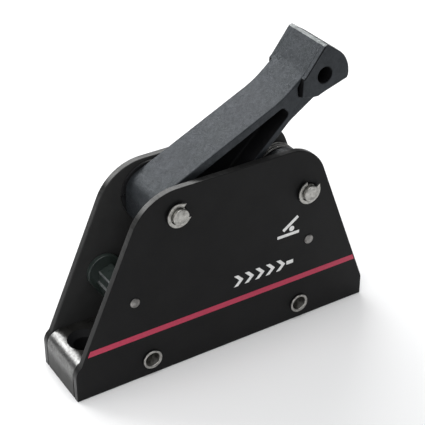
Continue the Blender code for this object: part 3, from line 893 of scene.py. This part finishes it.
def make_rivet(end, centre):
    """Peened rivet with a low dome at each end."""
    head, proud = RIVET_RADIUS + 0.6, node_box(f"guide_rivet_{end}")[1].y
    seat = OUTER + 0.05
    dome = (proud - seat - 0.25) * 0.7
    half = [(RIVET_RADIUS, seat), (head, seat), (head, seat + 0.25)]
    for k in range(1, 7):
        turn = math.pi / 2 * k / 6
        half.append((head * math.cos(turn), seat + 0.25 + dome * math.sin(turn)))
    profile = [(r, -y) for r, y in reversed(half)] + half
    rivet = turned(f"rivet_{end}", profile, centre, steps=48)
    paint(rivet, [HARD])
    stands_for(rivet, f"guide_rivet_{end}", "frame")


def make_pivot_pin(name, centre):
    """Pin with a clip groove, a rounded end and a shallow dished centre."""
    groove_in, groove_out = OUTER + 0.5, OUTER + 1.8
    root, end = PIN_ROOT, PIN_END
    half = [(PIN_RADIUS, groove_in), (root, groove_in), (root, groove_out), (PIN_RADIUS, groove_out)]
    rim = 0.4
    for k in range(6):
        turn = math.pi / 2 * k / 5
        half.append((PIN_RADIUS - rim * (1 - math.cos(turn)), end - rim * (1 - math.sin(turn))))
    half += [(2.6, end), (2.4, end - 0.12), (1.2, end - 0.2), (0.0, end - 0.22)]
    profile = [(r, -y) for r, y in reversed(half)] + half
    pin = turned(f"{name}_bar", profile, centre, steps=80)
    paint(pin, [STAINLESS])
    crisp(pin, 40.0)
    stands_for(pin, name, "frame")


def clip_outline(centre, opening):
    """E-clip: three prongs towards the pin, and ends that flare into small horns."""
    outer, inner, prong, horn = 5.25, 3.85, PIN_ROOT + GAP, 5.6
    points = [along(centre, opening + 38, horn), *arc(centre, outer, opening + 50, opening + 310, 60)]
    points.append(along(centre, opening - 38, horn))
    stops = [(-43, -58, prong), (-64, -106, inner), (-112, -131, prong), (-137, -223, inner)]
    stops += [(-229, -248, prong), (-254, -296, inner), (-302, -317, prong)]
    for start, end, radius in stops:
        points += arc(centre, radius, opening + start, opening + end, 10)
    return points


def make_clip(name, centre, side, opening):
    low, high = sorted((side * (OUTER + 0.7), side * (OUTER + 1.5)))
    clip = slab(f"{name}_ring", clip_outline(centre, opening), low, high, 0.14, 3)
    paint(clip, [STAINLESS])
    crisp(clip, 40.0)
    stands_for(clip, name, "frame")


# ---------------------------------------------------------------- handle

def handle_outline():
    """Root, arm and head: flat underside, round back, and a lip above the arm."""
    return rounded([
        (-31.9, 57.6, 8.0),
        (-12.0, 57.6, 12.0),
        (4.0, 68.5, 30.0),
        (31.5, 95.6, 20.0),
        (43.2, 103.4, 3.0),
        (46.6, 105.2, 6.0),
        (57.0, 108.5, 0.5),
        *sharp(arc(HEAD_BACK, HEAD_BACK_RADIUS, *HEAD_BACK_SPAN, 28)),
        (46.7, 125.3, 0.6),
        (45.4, 125.1, 1.4),
        (37.2, 114.1, 18.0),
        (27.5, 105.9, 40.0),
        (-32.0, 77.6, 9.0),
    ], steps=20)


def head_outline():
    """Wider block at the end, a hair inside the handle's own outline."""
    return rounded([
        (36.1, 113.0, 0.0),
        (35.8, 105.2, 0.0),
        (40.0, 104.2, 0.0),
        (43.2, 104.0, 0.0),
        (46.6, 105.3, 0.0),
        (56.95, 108.6, 0.4),
        *sharp(arc(HEAD_BACK, HEAD_BACK_RADIUS - 0.05, *HEAD_BACK_SPAN, 28)),
        (46.7, 125.24, 0.6),
        (45.46, 125.04, 1.4),
        (37.3, 114.1, 0.0),
    ], steps=20)


def notch_outline():
    """Recess in the arm's side, just before the wider head."""
    return [(36.6, 112.4), (36.0, 112.3), (34.3, 109.1), (34.9, 105.2), (36.6, 104.7)]


def seam_outline():
    """Fine parting groove on the head's side, along its front edge."""
    return [(45.64, 124.7), (37.44, 113.92), (36.0, 112.6), (36.2, 112.35), (37.66, 113.75), (45.86, 124.5)]


def pocket_outline():
    return rounded([
        (-13.5, 82.3, 1.0),
        (0.0, 77.0, 3.0),
        (5.5, 73.7, 3.0),
        (31.2, 98.7, 2.0),
        (27.9, 102.4, 1.5),
    ], steps=12)


def slot_outline():
    """Space for the link inside the handle's root."""
    rest = direction(LINK_TOP, LINK_BOTTOM)
    closed, opened = rest + 22.0, rest - 63.0
    side, reach = 4.4, 40.0
    return arc(LINK_TOP, side, closed + 90, opened + 270, 20) + [
        along(LINK_TOP, opened, reach, -side),
        along(LINK_TOP, (opened + closed) / 2, reach * 1.3),
        along(LINK_TOP, closed, reach, side),
    ]


def inside(point, outline):
    x, z = point
    odd = False
    for i, (x2, z2) in enumerate(outline):
        x1, z1 = outline[i - 1]
        if (z1 > z) != (z2 > z) and x < (x2 - x1) * (z - z1) / (z2 - z1) + x1:
            odd = not odd
    return odd


def make_handle():
    """Cast lever: slotted root, arm with a deep pocket in each side, and a wider drilled head."""
    web, notch_depth, seam_depth, head_hole, lip_rim = 1.5, 3.5, 0.22, 3.5, 124.6
    handle = slab("lever", handle_outline(), -HANDLE_HALF, HANDLE_HALF, 0.5)
    cuts, grooves = [hole(HEAD_HOLE, head_hole)], []
    for side in (-1, 1):
        cuts.append(pit(pocket_outline(), side * web, side * HANDLE_HALF))
        cuts.append(pit(notch_outline(), side * (HANDLE_HALF - notch_depth), side * HANDLE_HALF, 0.3, 0.1))
        low, high = sorted((side * (HEAD_HALF - seam_depth), side * (HEAD_HALF + 2.0)))
        grooves.append(slab("cutter", seam_outline(), low, high))
    head = slab("head", head_outline(), -HEAD_HALF, HEAD_HALF, 0.3)
    combine(head, [hole(HEAD_HOLE, head_hole, mouths=(-HEAD_HALF, HEAD_HALF))])
    combine(handle, cuts)
    combine(handle, [head], "UNION")
    combine(handle, grooves + [
        slab("cutter", slot_outline(), -LINK_HALF - GAP, LINK_HALF + GAP),
        hole(HANDLE_PIVOT, BUSH_RADIUS + GAP, mouths=(-HANDLE_HALF, HANDLE_HALF)),
        hole(LINK_TOP, LINK_PIN_RADIUS + GAP, mouths=(-HANDLE_HALF, HANDLE_HALF)),
    ])
    # The pockets, notch, seam groove and head hole take the painted shade.
    dark = [
        (cleaned(inset(cleaned(pocket_outline()), -0.05)), HANDLE_HALF - 0.3),
        (cleaned(inset(cleaned(notch_outline()), -0.1)), HEAD_HALF - 0.4),
        (cleaned(inset(cleaned(seam_outline()), -0.05)), HEAD_HALF - 0.01),
        (circle(HEAD_HOLE, head_hole + 0.05), HEAD_HALF - 0.35),
    ]

    def look(centre, normal):
        if any(abs(centre.y) < reach and inside((centre.x, centre.z), outline) for outline, reach in dark):
            return 1
        # The lip's top takes the painted highlight.
        return 2 if centre.z > lip_rim and normal.z > 0.7 else 0

    paint(handle, [SLATE, PAINTED_SHADE, PAINTED_HIGHLIGHT], look)
    crisp(handle)
    stands_for(handle, "handle", "handle")


# ---------------------------------------------------------------- bushes, washers, link and cam

def make_ring(name, node, body, centre, inner, material, chamfer=0.2):
    """Plain ring with softened rims, between the CAD node's two faces."""
    low, high = node_box(node)
    outer = (high.x - low.x) / 2
    profile = [
        (inner, low.y + chamfer),
        (inner + chamfer, low.y),
        (outer - chamfer, low.y),
        (outer, low.y + chamfer),
        (outer, high.y - chamfer),
        (outer - chamfer, high.y),
        (inner + chamfer, high.y),
        (inner, high.y - chamfer),
    ]
    ring = turned(name, profile, centre, steps=72)
    paint(ring, [material])
    crisp(ring, 50.0)
    stands_for(ring, node, body)


def make_pad(label):
    """Round friction pad beside the handle's root, with the pin's hole off its middle."""
    node = f"handle_pad_{label}"
    low, high = node_box(node)
    pad = slab(f"pad_{label}", circle(node_centre(node), (high.x - low.x) / 2, 96), low.y, high.y, 0.15, 2)
    combine(pad, [hole(HANDLE_PIVOT, PIN_RADIUS + GAP)])
    paint(pad, [WASHER])
    crisp(pad)
    stands_for(pad, node, "frame")


def make_link_pin(node, body, centre):
    low, high = node_box(node)
    radius, chamfer = (high.x - low.x) / 2, 0.4
    profile = [
        (0.0, low.y),
        (radius - chamfer, low.y),
        (radius, low.y + chamfer),
        (radius, high.y - chamfer),
        (radius - chamfer, high.y),
        (0.0, high.y),
    ]
    pin = turned(f"{node}_bar", profile, centre, steps=56)
    paint(pin, [STAINLESS])
    crisp(pin, 40.0)
    stands_for(pin, node, body)


def make_link():
    half_width = 4.0
    outline = capsule(LINK_TOP, LINK_BOTTOM, half_width, half_width, 32)
    link = slab("link_bar", outline, -LINK_HALF, LINK_HALF, 0.3, 3)
    eye, mouths = LINK_PIN_RADIUS + GAP, (-LINK_HALF, LINK_HALF)
    combine(link, [hole(place, eye, mouths=mouths, mouth=0.2) for place in (LINK_TOP, LINK_BOTTOM)])
    paint(link, [HARD])
    crisp(link)
    stands_for(link, "link", "link")


def cam_outline():
    return rounded(sharp(arc(CAM_PIVOT, 10.5, -118, 120, 48)) + [
        (22.0, 65.5, 14.0),
        (-7.3, 54.6, 7.0),
        (-8.6, 34.2, 2.0),
        (24.0, 31.4, 2.0),
        (28.0, 50.0, 8.0),
    ], steps=14)


def make_cam():
    cam = slab("cam_arm", cam_outline(), -CAM_HALF, CAM_HALF, 0.5, 3)
    seat = slab("cutter", circle(CAM_PIVOT, 14.0), 5.6, 20.0)
    combine(seat, [slab("core", circle(CAM_PIVOT, 8.4), 0.0, 30.0)])
    link_space = [
        along(LINK_BOTTOM, -150, 8.6),
        along(LINK_BOTTOM, -95, 8.0),
        along(LINK_BOTTOM, -40, 8.0),
        (14.0, 54.0),
        (14.0, 75.0),
        (-30.0, 75.0),
        (-30.0, 48.0),
    ]
    slot_radius = 3.15
    middle = along(LINK_BOTTOM, 22.0, -1.45, 0.4)
    slot = capsule(along(middle, 22.0, -2.2), along(middle, 22.0, 2.2), slot_radius, slot_radius)
    cuts = [
        seat,
        slab("cutter", link_space, -LINK_HALF - GAP, LINK_HALF + GAP),
        slab("cutter", slot, -20.0, 20.0),
        hole(SPRING_HOLE, 1.0, 6.5, 20.0),
        hole(CAM_PIVOT, BUSH_RADIUS + GAP),
        *(slab("cutter", circle(place, 2.2 + GAP), -2.0 - GAP, 2.0 + GAP) for place in SHOE_TABS),
    ]
    combine(cam, cuts)
    cast(cam, 0.35, 2)
    paint(cam, [CAM_CAST])
    stands_for(cam, "cam", "cam")


def make_cam_shoe():
    front, rear = (-7.6, 28.5), (23.4, 25.6)
    heading, length = direction(front, rear), math.dist(front, rear)
    count = 10
    points = [(24.3, 31.0), (-8.6, 33.8), (-8.6, 29.6)]
    for k in range(count):
        for place, rise in ((0.35, 0.0), (0.42, 0.0), (0.95, 1.0)):
            points.append(along(front, heading, (k + place) * length / count, rise))
    shoe = slab("shoe", points, -8.4, 8.4, 0.15, 2)
    tabs = [slab("tab", circle(place, 2.2), -2.0, 2.0) for place in SHOE_TABS]
    combine(shoe, tabs, "UNION")
    paint(shoe, [HARD])
    crisp(shoe)
    stands_for(shoe, "cam_shoe", "cam")


def make_spring():
    """Torsion spring that winds between the rear guide and the cam's arm."""
    inner_y, outer_y, turns, per_turn, radius, wire_radius = 6.7, 10.3, 2.25, 24, 9.8, 0.7
    points = [(42.5, inner_y, 41.95), (45.6, inner_y, 51.0), (47.6, inner_y, 57.0)]
    steps = round(turns * per_turn)
    for k in range(steps + 1):
        angle = 2 * math.pi * turns * k / steps
        points.append((
            CAM_PIVOT[0] + radius * math.cos(angle),
            inner_y + (outer_y - inner_y) * k / steps,
            CAM_PIVOT[1] + radius * math.sin(angle),
        ))
    points += [
        (31.0, outer_y, 71.4),
        (24.0, outer_y, 66.6),
        (17.8, outer_y, 60.7),
        (SPRING_HOLE[0], outer_y - wire_radius, SPRING_HOLE[1]),
        (SPRING_HOLE[0], 7.2, SPRING_HOLE[1]),
    ]
    spring = tube_along("spring_wire", points, wire_radius)
    paint(spring, [SPRING])
    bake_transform(spring)
    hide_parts("torsion_spring")


# ---------------------------------------------------------------- studio

def make_floor():
    shape = bmesh.new()
    bmesh.ops.create_grid(shape, x_segments=8, y_segments=8, size=4000.0)
    floor = new_object("floor", shape)
    floor.location.z = -0.0001
    paint(floor, [pale_floor()])


def make_light(name, place, target, width, height, power):
    data = bpy.data.lights.new(name, "AREA")
    data.shape = "RECTANGLE"
    data.size, data.size_y = width, height
    data.energy = power
    light = bpy.data.objects.new(name, data)
    light.location = place
    light.rotation_euler = (Vector(target) - Vector(place)).to_track_quat("-Z", "Y").to_euler()
    bpy.context.scene.collection.objects.link(light)


def make_studio():
    centre = (0.0, 0.0, 0.06)
    make_light("softbox_behind", (0.05, 0.72, 0.68), centre, 1.00, 0.27, 6.4)
    make_light("softbox_beside", (-0.50, 0.72, 0.58), centre, 0.28, 0.30, 2.2)
    make_light("softbox_over", (-0.05, -0.10, 1.05), centre, 0.7, 0.7, 4.9)
    make_light("fill_front", (-0.28, -0.24, 0.22), (-0.09, -0.07, 0.0), 0.15, 0.15, 0.3)
    world = bpy.data.worlds.new("studio")
    world.use_nodes = True
    background = world.node_tree.nodes["Background"]
    background.inputs["Color"].default_value = (0.97, 0.985, 1.0, 1.0)
    height = world.node_tree.nodes.new("ShaderNodeSeparateXYZ")
    strength = world.node_tree.nodes.new("ShaderNodeMapRange")
    sky = world.node_tree.nodes.new("ShaderNodeTexCoord").outputs["Generated"]
    for socket, number in zip(("From Min", "From Max", "To Min", "To Max"), (0.0, 0.9, 0.14, 0.50)):
        strength.inputs[socket].default_value = number
    world.node_tree.links.new(sky, height.inputs["Vector"])
    world.node_tree.links.new(height.outputs["Z"], strength.inputs["Value"])
    world.node_tree.links.new(strength.outputs["Result"], background.inputs["Strength"])
    bpy.context.scene.world = world
    bpy.context.scene.view_settings.view_transform = "Standard"


def make_camera():
    data = bpy.data.cameras.new("camera")
    data.sensor_width = 36.0
    data.lens = 103.0
    camera = bpy.data.objects.new("camera", data)
    camera.location = (-0.2170, -0.3537, 0.3230)
    looking = Vector((0.44341, 0.71638, -0.53868))
    camera.rotation_euler = looking.to_track_quat("-Z", "Y").to_euler()
    bpy.context.scene.collection.objects.link(camera)
    bpy.context.scene.camera = camera


def main():
    make_camera()
    for label, side in (("right", -1), ("left", 1)):
        make_side_plate(label, side)
        make_print(side, label)
    make_base_bar()
    make_jaw()
    for end, facing in (("front", -1), ("rear", 1)):
        make_cross_tube(end)
        make_rope_guide(end, facing)
    for pin, centre, opening in (("handle_pin", HANDLE_PIVOT, 17.5), ("cam_pin", CAM_PIVOT, 67.5)):
        make_pivot_pin(pin, centre)
        for label, side in (("right", -1), ("left", 1)):
            make_clip(f"{pin}_clip_{label}", centre, side, opening)
    make_handle()
    ring_bore = PIN_RADIUS + GAP
    for piece, centre, body in (("handle", HANDLE_PIVOT, "handle"), ("cam", CAM_PIVOT, "cam")):
        make_ring(f"{piece}_sleeve", f"{piece}_bush", body, centre, ring_bore, BRONZE)
    for label in ("right", "left"):
        make_pad(label)
        washer = f"cam_washer_{label}"
        make_ring(f"cam_spacer_{label}", washer, "frame", CAM_PIVOT, ring_bore, WASHER)
    make_link()
    make_link_pin("link_pin_upper", "handle", LINK_TOP)
    make_link_pin("link_pin_lower", "link", LINK_BOTTOM)
    make_cam()
    make_cam_shoe()
    make_spring()
    make_floor()
    make_studio()


main()
